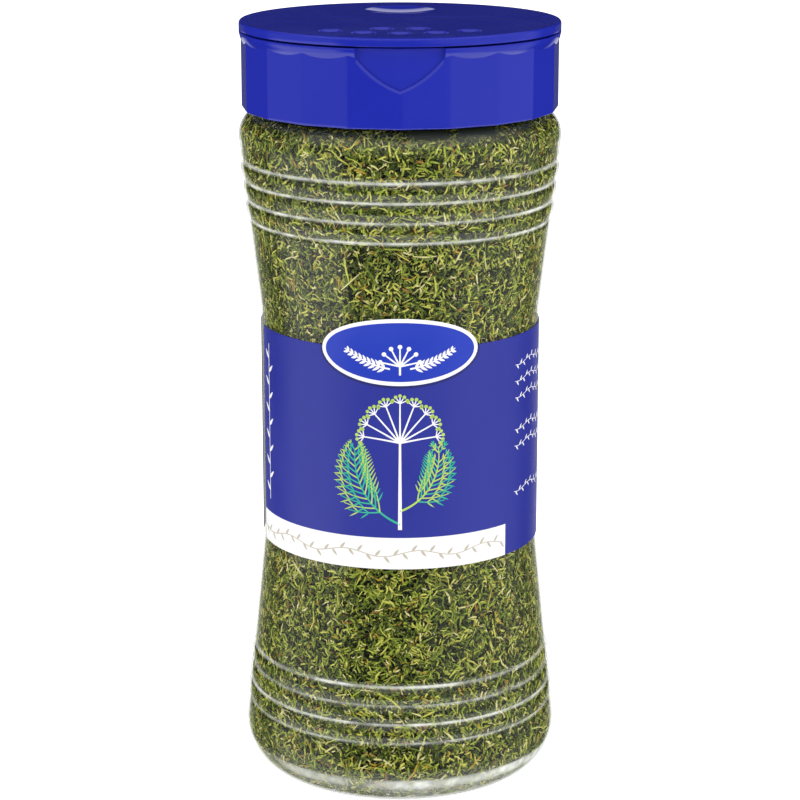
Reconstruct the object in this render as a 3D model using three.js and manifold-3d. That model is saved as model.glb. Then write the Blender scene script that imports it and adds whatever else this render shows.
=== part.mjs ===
import * as THREE from 'three';
import { mergeVertices } from 'three/addons/utils/BufferGeometryUtils.js';
import Module from 'manifold-3d';

// A clear ribbed jar of dried dill with a two-way shaker cap: a sprinkle flap over small holes
// at the front and a spoon flap over one wide opening at the back.
// Millimetres, +Z up, front towards -Y. The origin is the centre of the base, on the surface
// that the jar stands on.

const wasm = await Module();
wasm.setup();

// Driving dimensions
const totalHeight = 174.5;
const lidRadius = 36;
const capHeight = 19.5;
const jarRadius = 36.3;
const panelRadius = 31.3;
const neckRadius = 30.1;
const neckBore = 28.2;
const wall = 1.2;
const ribbedWall = 1.5;

const jarSegments = 32;
const facetCount = 20;
const collarSegments = 60;
const lidSegments = 72;

// Heights of the jar, from the base up
const pushUp = 3;
const heelHeight = 10;
const lowerTaper = { bottom: 13.9, top: 54.6, bottomRadius: 35.86, topRadius: 31.8 };
const upperTaper = { bottom: 108.2, top: 144.5, bottomRadius: 31.7, topRadius: 35.85 };
const lowerGrooves = { first: 15.9, pitch: 4.33, count: 4 };
const upperGrooves = { first: 130.25, pitch: 4.43, count: 4 };
const groove = { depth: 0.7, halfWidth: 0.9 };
const panelStep = 0.9;
const shoulder = { height: 149.2, round: 6, start: 147 };
const neckTop = 170.4;
const threadBead = { height: 164, radius: 31.3, halfWidth: 1.6, halfFlat: 0.5 };
const standRing = { inner: 25, outer: 28.1 };

// Pushed-up base: its underside from the middle out, and its inner face back in
const baseOutside = [[0, pushUp], [12, 2.5], [21, 1.4], [standRing.inner, 0]];
const baseInside = [[24, 2.6], [12, 3.9], [0, pushUp + wall]];
const insideHeel = { footHeight: 1.9, inset: 3.7, height: 4.6, wall: 1.3 };

// Label, a band that stops short of closing at the left, and its oval plaque
const label = { bottom: 56, top: 106.4, thickness: 0.4, gap: 0.25, start: -75.5, end: 270 };
const plaque = {
  height: 105.8, halfWidth: 17.8, halfHeight: 7.6, sweep: 80, lift: 0.1, lean: 0.065, columns: 16, rows: 4,
};

// Dill filling: a core with bits that stand out of it
const filling = { clearance: 0.5, top: 163, coreInset: 1.8, coreSegments: 20 };
const fillingBottom = pushUp + wall + filling.clearance;
const coreFloor = [[0, 1.3], [24, 1], [30.3, 2.6]];
const coreTop = { edgeDrop: 1.4, middleDrop: 1 };
const bit = { length: 6.5, lengthSpread: 3, width: 2.3, sunk: 1.2, proud: 1.05, tilt: 0.3 };
const bitPitch = { open: 9.8, behindLabel: 30, rowShare: 0.95 };
const labelMargin = 3;
const neckZone = { radius: neckBore - 3, bottom: shoulder.height + 1, top: filling.top - 2.5 };

// Cap
const lidThickness = 1.9;
const lidGap = 0.4;
const deckThickness = 1.4;
const lidUnderside = totalHeight - lidThickness;
const deckTop = lidUnderside - lidGap;
const deckUnderside = deckTop - deckThickness;
const skirtBottom = totalHeight - capHeight;
const facetRadius = 35.66;
const collar = { radius: 35.9, straight: 0.8, slope: 0.38, foot: 34.2 };
const innerSkirt = { inner: 31.75, outer: 32.8, bottom: 157.5 };
const outerSkirtInner = 33.8;
const pocketTop = 168;
const barHalfWidth = 5.5;
const flapEdge = 5.9;
const lidEdge = [[0, 0.6], [0.2, 0.2], [0.6, 0]];
const notch = {
  halfWidth: 9.5, straight: 2.3, depthBelowDeck: 9.2, inset: 0.7, pull: 0.62, pullRise: 1.4, cut: 4,
};

// Openings in the deck, and the flaps' dishes and plugs over them
const sprinkleHole = { radius: 2.6, plugRadius: 2.05, plugDepth: 1.4, dishDepth: 0.8 };
const outerHoles = { radius: 26.2, angles: [-34.7, -17.3, 0, 17.3, 34.7] };
const innerHoles = { radius: 18.1, angles: [-12.6, 12.6] };
const spoonOpening = { start: 11, radius: 25.5, halfWidth: 20 };
const spoonPlug = { gap: 0.6, thickness: 1, depth: 1.4 };
const thumbDish = { offset: 20, radius: 8, depth: 1.1 };
const dishBend = { radius: 0.55, depth: 0.72 };

// Cutters reach this far past the faces that they open, and joined parts this far into each other
const past = 1;
const overlap = 0.5;

const radians = (degrees) => degrees * Math.PI / 180;
const lerp = (from, to, share) => from + (to - from) * share;

// Seeded random numbers from 0 to 1
function seededRandom(seed) {
  let state = seed;
  return () => {
    state = (state + 0x6d2b79f5) | 0;
    let mixed = Math.imul(state ^ (state >>> 15), 1 | state);
    mixed = (mixed + Math.imul(mixed ^ (mixed >>> 7), 61 | mixed)) ^ mixed;
    return ((mixed ^ (mixed >>> 14)) >>> 0) / 4294967296;
  };
}

// Closed geometry to a solid that can be joined and cut
function toSolid(geometry) {
  const bare = geometry.clone();
  bare.deleteAttribute('normal');
  bare.deleteAttribute('uv');
  const merged = mergeVertices(bare, 1e-4);
  const corners = merged.index.array;
  const kept = [];
  for (let i = 0; i < corners.length; i += 3) {
    const [a, b, c] = [corners[i], corners[i + 1], corners[i + 2]];
    if (a !== b && b !== c && c !== a) kept.push(a, b, c);
  }
  return new wasm.Manifold(new wasm.Mesh({
    numProp: 3,
    vertProperties: new Float32Array(merged.attributes.position.array),
    triVerts: new Uint32Array(kept),
  }));
}

function toGeometry(solid) {
  const mesh = solid.getMesh();
  const geometry = new THREE.BufferGeometry();
  geometry.setAttribute('position', new THREE.BufferAttribute(mesh.vertProperties, 3));
  geometry.setIndex(new THREE.BufferAttribute(mesh.triVerts, 1));
  geometry.computeVertexNormals();
  return geometry;
}

// Solid of revolution about Z. The outline is [radius, height] points, going up on the outside.
function turned(outline, segments) {
  const points = outline.map(([radius, height]) => new THREE.Vector2(radius, height));
  return toSolid(new THREE.LatheGeometry(points, segments).rotateX(Math.PI / 2));
}

function disc(radius, bottom, top, segments) {
  return turned([[0, bottom], [radius, bottom], [radius, top], [0, top]], segments);
}

function ring(inner, outer, bottom, top, segments) {
  const outline = [[inner, bottom], [outer, bottom], [outer, top], [inner, top], [inner, bottom]];
  return turned(outline, segments);
}

// Shape drawn in X and Y, raised between two heights
function raised(shape, bottom, top) {
  const options = { depth: top - bottom, bevelEnabled: false, curveSegments: 8 };
  return toSolid(new THREE.ExtrudeGeometry(shape, options).translate(0, 0, bottom));
}

// Block as wide as the lid and more, between two places along Y and two heights
function slab(front, back, bottom, top) {
  const box = new THREE.BoxGeometry(90, back - front, top - bottom);
  return toSolid(box.translate(0, (front + back) / 2, (top + bottom) / 2));
}

function joined(solids) {
  return wasm.Manifold.union(solids);
}

// The outer surface alone: small hollows closed in by the joined pieces are filled
function outerShell(solid) {
  const { vertProperties, triVerts } = solid.getMesh();
  const owner = Array.from({ length: vertProperties.length / 3 }, (_, index) => index);
  const find = (index) => {
    let top = index;
    while (owner[top] !== top) top = owner[top];
    owner[index] = top;
    return top;
  };
  for (let i = 0; i < triVerts.length; i += 3) {
    owner[find(triVerts[i + 1])] = find(triVerts[i]);
    owner[find(triVerts[i + 2])] = find(triVerts[i]);
  }
  const shells = new Map();
  for (let i = 0; i < triVerts.length; i += 3) {
    const shell = find(triVerts[i]);
    if (!shells.has(shell)) shells.set(shell, []);
    shells.get(shell).push(...triVerts.slice(i, i + 3));
  }
  const [largest] = [...shells.values()].sort((one, other) => other.length - one.length);
  const mesh = new wasm.Mesh({ numProp: 3, vertProperties, triVerts: new Uint32Array(largest) });
  return new wasm.Manifold(mesh);
}

// Part of an ellipse between two angles, as [radius, height] points
function arc(centre, radii, fromAngle, toAngle, steps) {
  const points = [];
  for (let i = 0; i <= steps; i += 1) {
    const angle = radians(lerp(fromAngle, toAngle, i / steps));
    points.push([centre[0] + radii[0] * Math.cos(angle), centre[1] + radii[1] * Math.sin(angle)]);
  }
  return points;
}

const taperRadius = (taper, height) => lerp(
  taper.bottomRadius, taper.topRadius, (height - taper.bottom) / (taper.top - taper.bottom));

// Narrow grooves turned into a taper
function groovedTaper(taper, grooves) {
  const points = [];
  for (let i = 0; i < grooves.count; i += 1) {
    const middle = grooves.first + i * grooves.pitch;
    for (const [offset, depth] of [[-groove.halfWidth, 0], [0, groove.depth], [groove.halfWidth, 0]]) {
      points.push([taperRadius(taper, middle + offset) - depth, middle + offset]);
    }
  }
  return points;
}

// Inside of the jar's wall, from the stand ring up to the neck
const shoulderCentre = [jarRadius - shoulder.round, shoulder.height];
const innerRound = shoulder.round - wall;
const innerWall = [
  [standRing.outer, insideHeel.footHeight],
  [jarRadius - insideHeel.inset, insideHeel.height],
  [jarRadius - insideHeel.wall, heelHeight],
  [lowerTaper.bottomRadius - ribbedWall, lowerTaper.bottom],
  [panelRadius - wall, lowerTaper.top + 1],
  [panelRadius - wall, upperTaper.bottom - 1],
  [upperTaper.topRadius - ribbedWall, upperTaper.top],
  ...arc(shoulderCentre, [innerRound, innerRound], 0, 85, 3),
  [neckBore, shoulder.height + innerRound - 0.2],
  [neckBore, neckTop],
];

function radiusInside(height) {
  let last = 0;
  while (last < innerWall.length - 2 && innerWall[last + 1][1] < height) last += 1;
  const [lower, upper] = [innerWall[last], innerWall[last + 1]];
  const share = THREE.MathUtils.clamp((height - lower[1]) / (upper[1] - lower[1] || 1), 0, 1);
  return lerp(lower[0], upper[0], share);
}

// Jar
function makeJar() {
  const { height, radius, halfWidth, halfFlat } = threadBead;
  const outside = [
    ...baseOutside,
    ...arc([standRing.outer, heelHeight], [jarRadius - standRing.outer, heelHeight], -90, 0, 5),
    [lowerTaper.bottomRadius, lowerTaper.bottom],
    ...groovedTaper(lowerTaper, lowerGrooves),
    [lowerTaper.topRadius, lowerTaper.top],
    [panelRadius, lowerTaper.top + panelStep],
    [panelRadius, upperTaper.bottom - panelStep],
    [upperTaper.bottomRadius, upperTaper.bottom],
    ...groovedTaper(upperTaper, upperGrooves),
    [jarRadius - 0.1, shoulder.start],
    ...arc(shoulderCentre, [shoulder.round, shoulder.round], 0, 90, 4),
    [neckRadius, shoulder.height + shoulder.round],
    [neckRadius, height - halfWidth],
    [radius, height - halfFlat],
    [radius, height + halfFlat],
    [neckRadius, height + halfWidth],
    [neckRadius, neckTop],
  ];
  return turned([...outside, ...[...innerWall].reverse(), ...baseInside], jarSegments);
}

// Closed sheet of columns and rows; place gives the azimuth, radius and height of each corner
function bent(columns, rows, place) {
  const sheet = new THREE.BoxGeometry(1, 1, 1, columns, 1, rows);
  const position = sheet.attributes.position;
  for (let i = 0; i < position.count; i += 1) {
    const column = Math.round((position.getX(i) + 0.5) * columns);
    const row = (position.getZ(i) + 0.5) * rows;
    const { angle, radius, height } = place(column, row / rows, position.getY(i) < 0);
    position.setXYZ(i, radius * Math.sin(radians(angle)), -radius * Math.cos(radians(angle)), height);
  }
  return toSolid(sheet);
}

// Azimuths of the label's ends and of the jar's corners between them
function labelAngles() {
  const step = 360 / jarSegments;
  const angles = [label.start];
  for (let angle = Math.ceil(label.start / step) * step; angle < label.end; angle += step) {
    angles.push(angle);
  }
  angles.push(label.end);
  return angles;
}

function makeLabel() {
  const angles = labelAngles();
  const inner = panelRadius + label.gap;
  const band = bent(angles.length - 1, 1, (column, share, outer) => ({
    angle: angles[column],
    radius: outer ? inner + label.thickness : inner,
    height: lerp(label.bottom, label.top, share),
  }));
  const oval = bent(plaque.columns, plaque.rows, (column, share, outer) => {
    const turn = radians(lerp(-plaque.sweep, plaque.sweep, column / plaque.columns));
    const height = plaque.height + plaque.halfHeight * Math.cos(turn) * lerp(-1, 1, share);
    const rise = Math.max(0, height - plaque.height + plaque.halfHeight);
    return {
      angle: plaque.halfWidth * Math.sin(turn) / inner * 180 / Math.PI,
      radius: inner + plaque.lift + rise * plaque.lean + (outer ? label.thickness : 0),
      height,
    };
  });
  return joined([band, oval]);
}

// Dill filling
const coreOutline = [
  ...coreFloor.map(([radius, height]) => [radius, fillingBottom + height]),
  ...innerWall
    .filter(([, height]) => height >= heelHeight && height < shoulder.height + 3)
    .map(([radius, height]) => [radius - filling.coreInset, height]),
  [neckBore - filling.coreInset, shoulder.height + 4],
  [neckBore - filling.coreInset, filling.top - coreTop.edgeDrop],
  [0, filling.top - coreTop.middleDrop],
];

// Fewer bits stand out behind the label
const isBehindLabel = (height) => (
  height > label.bottom + labelMargin && height < label.top - labelMargin);

// The neck is narrow and hidden by the cap, so no bits stand out there
const isInNeck = (radius, height) => (
  radius > neckZone.radius && height > neckZone.bottom && height < neckZone.top);

// Triangles of a three-sided bar, with corners 0 to 2 at one end and 3 to 5 at the other
const barTriangles = [0, 2, 1, 3, 4, 5, 0, 4, 3, 0, 1, 4, 1, 5, 4, 1, 2, 5, 2, 3, 5, 2, 0, 3];

// One chopped bit: a three-sided bar that lies along the core with its root sunk in it
function makeBit(centre, outward, along, random) {
  const across = new THREE.Vector3().crossVectors(outward, along).normalize();
  const half = (bit.length + bit.lengthSpread * (random() - 0.5)) / 2;
  const width = bit.width * (0.8 + 0.4 * random());
  const tilt = bit.tilt * (random() - 0.5) * 2;
  const corners = [];
  for (const end of [-1, 1]) {
    const middle = centre.clone().addScaledVector(along, end * half).addScaledVector(outward, end * tilt);
    const corner = (sideways, outwards) => (
      middle.clone().addScaledVector(across, sideways).addScaledVector(outward, outwards));
    corners.push(corner(-width / 2, -bit.sunk));
    corners.push(corner(width / 2, -bit.sunk));
    corners.push(corner(width * (random() - 0.5) / 2, bit.proud));
  }
  for (const corner of corners) {
    corner.z = THREE.MathUtils.clamp(corner.z, fillingBottom, filling.top);
    const limit = radiusInside(corner.z) - filling.clearance;
    const radius = Math.hypot(corner.x, corner.y);
    if (radius > limit) corner.multiply(new THREE.Vector3(limit / radius, limit / radius, 1));
  }
  const geometry = new THREE.BufferGeometry().setFromPoints(corners);
  geometry.setIndex(barTriangles);
  return toSolid(geometry);
}

// Bits all round the core at one radius and height, where its outline runs along slope
function ringOfBits(radius, height, slope, count, random) {
  const phase = random();
  const bits = [];
  for (let k = 0; k < count; k += 1) {
    const turn = 2 * Math.PI * (k + phase + 0.5 * (random() - 0.5)) / count;
    const away = new THREE.Vector3(Math.cos(turn), Math.sin(turn), 0);
    const around = new THREE.Vector3(-Math.sin(turn), Math.cos(turn), 0);
    const upward = away.clone().multiplyScalar(slope.x).setZ(slope.y);
    const outward = new THREE.Vector3().crossVectors(around, upward).normalize();
    const direction = Math.PI * random();
    const along = around.clone().multiplyScalar(Math.cos(direction));
    along.addScaledVector(upward, Math.sin(direction)).normalize();
    const centre = away.clone().multiplyScalar(radius).setZ(height + 2 * (random() - 0.5) * slope.y);
    bits.push(makeBit(centre, outward, along, random));
  }
  return bits;
}

function makeFilling() {
  const random = seededRandom(11);
  const parts = [turned(coreOutline, filling.coreSegments)];
  for (let i = 0; i < coreOutline.length - 1; i += 1) {
    const [start, end] = [coreOutline[i], coreOutline[i + 1]];
    const run = new THREE.Vector2(end[0] - start[0], end[1] - start[1]);
    const length = run.length();
    const slope = run.normalize();
    let travelled = bitPitch.open / 2 * random();
    while (travelled < length) {
      const radius = lerp(start[0], end[0], travelled / length);
      const height = lerp(start[1], end[1], travelled / length);
      const pitch = isBehindLabel(height) ? bitPitch.behindLabel : bitPitch.open;
      const around = Math.max(1, Math.round(2 * Math.PI * radius / pitch));
      const count = isInNeck(radius, height) ? 0 : around;
      parts.push(...ringOfBits(radius, height, slope, count, random));
      travelled += pitch * bitPitch.rowShare;
    }
  }
  return outerShell(joined(parts));
}

// Cap
function facetPrism(radius, bottom, top) {
  const prism = new THREE.CylinderGeometry(radius, radius, top - bottom, facetCount);
  return toSolid(prism.rotateX(Math.PI / 2).translate(0, 0, (top + bottom) / 2));
}

// Shield-shaped cutter that leaves a thumb notch in the skirt, at the front or at the back
function notchCutter(side) {
  const { halfWidth, pull, cut } = notch;
  const top = lidUnderside + 0.2;
  const cusp = deckTop - notch.depthBelowDeck;
  const cornerHeight = deckTop - notch.straight;
  const pullHeight = cusp + notch.pullRise;
  const shield = new THREE.Shape();
  shield.moveTo(-halfWidth, top);
  shield.lineTo(-halfWidth, cornerHeight);
  shield.quadraticCurveTo(-halfWidth * pull, pullHeight, 0, cusp);
  shield.quadraticCurveTo(halfWidth * pull, pullHeight, halfWidth, cornerHeight);
  shield.lineTo(halfWidth, top);
  const plate = new THREE.ExtrudeGeometry(shield, { depth: cut, bevelEnabled: false, curveSegments: 6 });
  plate.rotateX(Math.PI / 2).translate(0, -(lidRadius - cut + past), 0);
  if (side > 0) plate.rotateZ(Math.PI);
  return toSolid(plate).subtract(facetPrism(facetRadius - notch.inset, skirtBottom, totalHeight));
}

// Lid with its rounded rim, down to a given height
function lidDisc(bottom) {
  const rim = lidEdge.map(([inset, drop]) => [lidRadius - inset, totalHeight - drop]);
  return turned([[0, bottom], [lidRadius, bottom], ...rim, [0, totalHeight]], lidSegments);
}

// Sprinkle holes lie on two arcs in the front half
function sprinklePlaces() {
  return [outerHoles, innerHoles].flatMap(({ radius, angles }) => angles.map((angle) => (
    { x: radius * Math.sin(radians(angle)), y: -radius * Math.cos(radians(angle)) })));
}

// Spoon opening, smaller all round by the inset
function spoonShape(inset) {
  const radius = spoonOpening.radius - inset;
  const halfWidth = spoonOpening.halfWidth - inset;
  const corner = Math.acos(halfWidth / radius);
  const shape = new THREE.Shape();
  shape.moveTo(-halfWidth, spoonOpening.start + inset);
  shape.lineTo(halfWidth, spoonOpening.start + inset);
  shape.absarc(0, 0, radius, corner, Math.PI - corner, false);
  shape.closePath();
  return shape;
}

// Faceted skirt, round collar, deck with its openings, inner skirt and the bar between the flaps
function makeCap() {
  const coneTop = deckTop - collar.straight;
  const coneFoot = coneTop - (collar.radius - collar.foot) / collar.slope;
  const cutBottom = skirtBottom - past;
  const bar = slab(-barHalfWidth, barHalfWidth, deckTop - past, totalHeight + past);
  const body = joined([
    facetPrism(facetRadius, skirtBottom, deckTop),
    turned([
      [0, coneFoot], [collar.foot, coneFoot], [collar.radius, coneTop], [collar.radius, deckTop], [0, deckTop],
    ], collarSegments),
    lidDisc(deckTop - overlap).intersect(bar),
  ]);
  const cutters = [
    disc(innerSkirt.inner, cutBottom, deckUnderside, jarSegments),
    ring(innerSkirt.inner - overlap, innerSkirt.outer, cutBottom, innerSkirt.bottom, jarSegments),
    ring(innerSkirt.outer, outerSkirtInner, cutBottom, pocketTop, jarSegments),
    ring(collar.radius - overlap, lidRadius + past, deckTop, lidUnderside, collarSegments),
    raised(spoonShape(0), deckUnderside - past, deckTop + past),
    notchCutter(-1),
    notchCutter(1),
    ...sprinklePlaces().map(({ x, y }) => (
      disc(sprinkleHole.radius, deckUnderside - past, deckTop + past, 16).translate([x, y, 0]))),
  ];
  return body.subtract(joined(cutters));
}

// Shallow round dish to cut into the top of a flap
function dish(radius, depth, x, y, segments) {
  const outline = [
    [0, totalHeight - depth], [radius * dishBend.radius, totalHeight - depth * dishBend.depth],
    [radius, totalHeight], [radius, totalHeight + past], [0, totalHeight + past],
  ];
  return turned(outline, segments).translate([x, y, 0]);
}

// The part of the lid that lies in front of the bar or behind it
function halfLid(side) {
  const places = [side * flapEdge, side * (flapEdge + 40)].sort((one, other) => one - other);
  return lidDisc(lidUnderside).intersect(slab(...places, lidUnderside - past, totalHeight + past));
}

function makeSprinkleFlap() {
  const { radius, plugRadius, plugDepth, dishDepth } = sprinkleHole;
  const plug = disc(plugRadius, lidUnderside - plugDepth, lidUnderside + overlap, 12);
  const plugs = sprinklePlaces().map(({ x, y }) => plug.translate([x, y, 0]));
  const dishes = sprinklePlaces().map(({ x, y }) => dish(radius, dishDepth, x, y, 16));
  return joined([halfLid(-1), ...plugs]).subtract(joined(dishes));
}

function makeSpoonFlap() {
  const bottom = lidUnderside - spoonPlug.depth;
  const plug = raised(spoonShape(spoonPlug.gap), bottom, lidUnderside + overlap);
  const hollow = raised(spoonShape(spoonPlug.gap + spoonPlug.thickness), bottom - past, lidUnderside);
  const thumb = dish(thumbDish.radius, thumbDish.depth, 0, thumbDish.offset, 32);
  return joined([halfLid(1), plug.subtract(hollow)]).subtract(thumb);
}

// Finishes
const clearPlastic = new THREE.MeshStandardMaterial({
  color: 0xdfe6df, roughness: 0.08, metalness: 0, transparent: true, opacity: 0.25,
});
const driedDill = new THREE.MeshStandardMaterial({ color: 0x59682b, roughness: 0.9, metalness: 0 });
const printedFilm = new THREE.MeshStandardMaterial({ color: 0x262e96, roughness: 0.45, metalness: 0 });
const bluePlastic = new THREE.MeshStandardMaterial({ color: 0x2c34a6, roughness: 0.32, metalness: 0 });

function piece(name, solid, material) {
  const mesh = new THREE.Mesh(toGeometry(solid), material);
  mesh.name = name;
  return mesh;
}

const jarOfDill = new THREE.Group();
jarOfDill.add(
  piece('jar', makeJar(), clearPlastic),
  piece('dill_filling', makeFilling(), driedDill),
  piece('label', makeLabel(), printedFilm),
  piece('cap', makeCap(), bluePlastic),
  piece('sprinkle_flap', makeSprinkleFlap(), bluePlastic),
  piece('spoon_flap', makeSpoonFlap(), bluePlastic),
);

export default jarOfDill;
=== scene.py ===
import math

import bmesh
import bpy
import numpy as np
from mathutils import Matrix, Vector


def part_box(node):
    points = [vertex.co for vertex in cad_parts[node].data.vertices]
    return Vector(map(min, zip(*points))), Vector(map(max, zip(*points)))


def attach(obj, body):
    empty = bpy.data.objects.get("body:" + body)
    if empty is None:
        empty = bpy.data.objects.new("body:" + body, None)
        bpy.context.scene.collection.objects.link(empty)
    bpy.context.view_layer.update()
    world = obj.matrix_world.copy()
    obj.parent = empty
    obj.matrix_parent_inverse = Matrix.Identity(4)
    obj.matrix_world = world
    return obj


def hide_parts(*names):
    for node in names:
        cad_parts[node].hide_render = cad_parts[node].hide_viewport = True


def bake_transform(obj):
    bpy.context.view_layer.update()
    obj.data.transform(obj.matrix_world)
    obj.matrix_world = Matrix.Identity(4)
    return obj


# Looks of a clear ribbed jar of dried dill with a blue two-way shaker cap.
# Shapes are worked out in millimetres, with the front towards -Y, and become metres in addPiece.

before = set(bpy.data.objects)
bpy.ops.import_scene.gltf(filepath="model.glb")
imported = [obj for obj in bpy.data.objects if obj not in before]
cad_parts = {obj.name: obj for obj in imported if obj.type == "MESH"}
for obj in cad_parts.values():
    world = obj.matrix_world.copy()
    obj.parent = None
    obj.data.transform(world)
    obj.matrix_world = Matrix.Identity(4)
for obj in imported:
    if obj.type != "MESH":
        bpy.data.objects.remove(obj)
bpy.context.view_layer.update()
mm = 0.001


def boxOf(node):
    low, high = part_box(node)
    return low / mm, high / mm


lidTop = boxOf("sprinkle_flap")[1].z
lidRadius = boxOf("cap")[1].x
capBottom = boxOf("cap")[0].z
neckTop = boxOf("jar")[1].z
labelBottom = boxOf("label")[0].z


# Mesh helpers

def addPiece(name, points, faces, materials, slots=None, sharpAngle=30):
    mesh = bpy.data.meshes.new(name)
    mesh.from_pydata((np.asarray(points, float) * mm).tolist(), [], faces)
    piece = bpy.data.objects.new(name, mesh)
    bpy.context.scene.collection.objects.link(piece)
    for material in materials:
        mesh.materials.append(material)
    if slots is not None:
        mesh.polygons.foreach_set("material_index", np.asarray(slots, np.int32))
    shade(piece, sharpAngle)
    return piece


def shade(piece, sharpAngle):
    if sharpAngle is None:
        piece.data.shade_flat()
        return
    piece.data.shade_smooth()
    piece.data.set_sharp_from_angle(angle=math.radians(sharpAngle))


def finished(piece, body, slot, *nodes):
    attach(piece, body)
    if nodes:
        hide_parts(*nodes)
    return piece


def polar(radius, turn, height):
    return radius * math.sin(turn), -radius * math.cos(turn), height


def arc(centre, radii, fromAngle, toAngle, steps):
    turns = np.radians(np.linspace(fromAngle, toAngle, steps + 1))
    return [(centre[0] + radii[0] * math.cos(t), centre[1] + radii[1] * math.sin(t)) for t in turns]


def lathe(outline, segments):
    # outline: [radius, height] points, up the outside. It starts and ends on the axis, or closes on itself.
    turns = 2 * np.pi * np.arange(segments) / segments
    points, rings = [], []
    for radius, height in outline:
        if radius < 1e-9:
            rings.append([len(points)] * segments)
            points.append((0, 0, height))
        else:
            rings.append(list(range(len(points), len(points) + segments)))
            points.extend(zip(radius * np.sin(turns), -radius * np.cos(turns), [height] * segments))
    onAxis = outline[0][0] < 1e-9
    return points, skinned(rings, segments, not onAxis)


def skinned(rings, segments, closed):
    # Faces between neighbouring rings of points, and between the last and the first if it is closed
    faces = []
    for lower, upper in zip(rings, rings[1:] + rings[:1] if closed else rings[1:]):
        for k in range(segments):
            n = (k + 1) % segments
            corners = [lower[k], lower[n], upper[n], upper[k]]
            face = [c for i, c in enumerate(corners) if c != corners[i - 1]]
            if len(face) > 2:
                faces.append(face)
    return faces


def capped(rings, segments):
    return skinned(rings, segments, False) + [rings[0][::-1], rings[-1]]


def sheetFaces(columns, rows):
    # Front, back and rim of a closed sheet. Its points run up each column, from left to right, on each side.
    corners = ((0, 0), (1, 0), (1, 1), (0, 1))
    cells = [(c, r) for c in range(columns - 1) for r in range(rows - 1)]
    front = [[(c + a) * rows + r + b for a, b in corners] for c, r in cells]
    behind = columns * rows
    back = [[behind + i for i in face[::-1]] for face in front]
    rim = [c * rows for c in range(columns)] + [behind - rows + r for r in range(1, rows)]
    rim += [c * rows + rows - 1 for c in range(columns - 2, -1, -1)] + list(range(rows - 2, 0, -1))
    edge = [[p, p + behind, q + behind, q] for p, q in zip(rim, rim[1:] + rim[:1])]
    return front, back, edge


def joinedShapes(*shapes):
    points, faces = [], []
    for shapePoints, shapeFaces in shapes:
        base = len(points)
        points.extend(tuple(p) for p in shapePoints)
        faces.extend([base + i for i in face] for face in shapeFaces)
    return points, faces


def moved(shape, x, y):
    points, faces = shape
    return [(p[0] + x, p[1] + y, p[2]) for p in points], faces


def extruded(outline, bottom, top):
    count = len(outline)
    points = [(x, y, z) for z in (bottom, top) for x, y in outline]
    return points, capped([list(range(count)), list(range(count, 2 * count))], count)


def combine(piece, shape, operation, sharpAngle=30):
    # Joins a closed shape to a piece, or cuts it out, and keeps the result as the piece's mesh
    tool = addPiece("tool", *shape, [], None, None)
    modifier = piece.modifiers.new("combine", "BOOLEAN")
    modifier.operation = operation
    modifier.solver = "MANIFOLD"
    modifier.object = tool
    graph = bpy.context.evaluated_depsgraph_get()
    result = bpy.data.meshes.new_from_object(piece.evaluated_get(graph))
    piece.modifiers.remove(modifier)
    piece.data = result
    bpy.data.objects.remove(tool)
    shade(piece, sharpAngle)


def keepSide(piece, place, direction, sharpAngle=30):
    # Cuts a piece along a plane, keeps the side that the direction points to, and closes it
    work = bmesh.new()
    work.from_mesh(piece.data)
    cut = bmesh.ops.bisect_plane(
        work, geom=work.verts[:] + work.edges[:] + work.faces[:], dist=1e-7,
        plane_co=Vector(place) * mm, plane_no=direction, clear_inner=True)
    edges = [e for e in cut["geom_cut"] if isinstance(e, bmesh.types.BMEdge)]
    bmesh.ops.holes_fill(work, edges=edges, sides=0)
    bmesh.ops.recalc_face_normals(work, faces=work.faces)
    work.to_mesh(piece.data)
    work.free()
    shade(piece, sharpAngle)


# Shader node groups

def newGroup(name, inputs, outputs):
    tree = bpy.data.node_groups.new(name, "ShaderNodeTree")
    for socket, kind, value in inputs:
        made = tree.interface.new_socket(socket, in_out="INPUT", socket_type="NodeSocket" + kind)
        made.default_value = value
    for socket, kind in outputs:
        tree.interface.new_socket(socket, in_out="OUTPUT", socket_type="NodeSocket" + kind)
    return tree, tree.nodes.new("NodeGroupInput"), tree.nodes.new("NodeGroupOutput")


def addNode(tree, kind, settings=None, **values):
    node = tree.nodes.new("ShaderNode" + kind)
    for name, value in (settings or {}).items():
        setattr(node, name, value)
    for name, value in values.items():
        node.inputs[name.replace("_", " ")].default_value = value
    return node


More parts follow.
